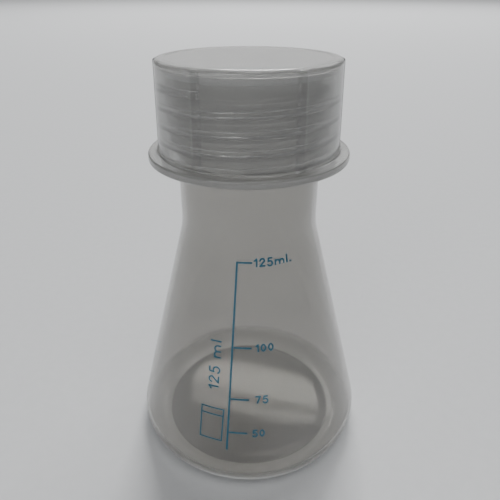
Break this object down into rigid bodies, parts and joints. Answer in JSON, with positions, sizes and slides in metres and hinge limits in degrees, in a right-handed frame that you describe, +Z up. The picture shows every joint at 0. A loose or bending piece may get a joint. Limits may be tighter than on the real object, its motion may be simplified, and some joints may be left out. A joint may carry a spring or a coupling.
{
  "type": "conical flask",
  "caption": "Plastic conical laboratory flask with a printed volume scale, closed by a ribbed and flanged screw cap with a sealing liner.",
  "frame": {"origin": "centre of the base, on the surface that the flask stands on", "axes": "+Z up along the flask's axis, out through the neck and cap; -Y towards the printed scale; +X to the right of someone reading the scale"},
  "size_m": [0.0654, 0.0654, 0.1056],
  "materials": {
    "flask_plastic": "natural milky polypropylene, frosted",
    "cap_plastic": "natural milky polypropylene, satin",
    "liner_foam": "expanded polyethylene disc, soft",
    "scale_ink": "screen-printed ink"
  },
  "bodies": {
    "flask": {"flask_body": "flask_plastic", "scale_spine": "scale_ink", "tick_125ml": "scale_ink", "tick_100": "scale_ink", "tick_75": "scale_ink", "tick_50": "scale_ink", "numeral_125ml": "scale_ink", "numeral_100": "scale_ink", "numeral_75": "scale_ink", "numeral_50": "scale_ink", "capacity_note": "scale_ink", "marking_box": "scale_ink"},
    "liner": {"cap_liner": "liner_foam"},
    "cap": {"screw_cap": "cap_plastic"}
  },
  "joints": [
    {"name": "cap_lift", "type": "slide", "parent": "flask", "child": "liner", "axis": [0, 0, 1], "range_m": [0, 0.0215]},
    {"name": "cap_turn", "type": "hinge", "parent": "liner", "child": "cap", "pos_m": [0, 0, 0.0831], "axis": [0, 0, 1], "range_deg": [0, 1980]}
  ],
  "couplings": [
    {"joint": "cap_lift", "follows": "cap_turn", "m_per_rad": 0.0006207}
  ]
}
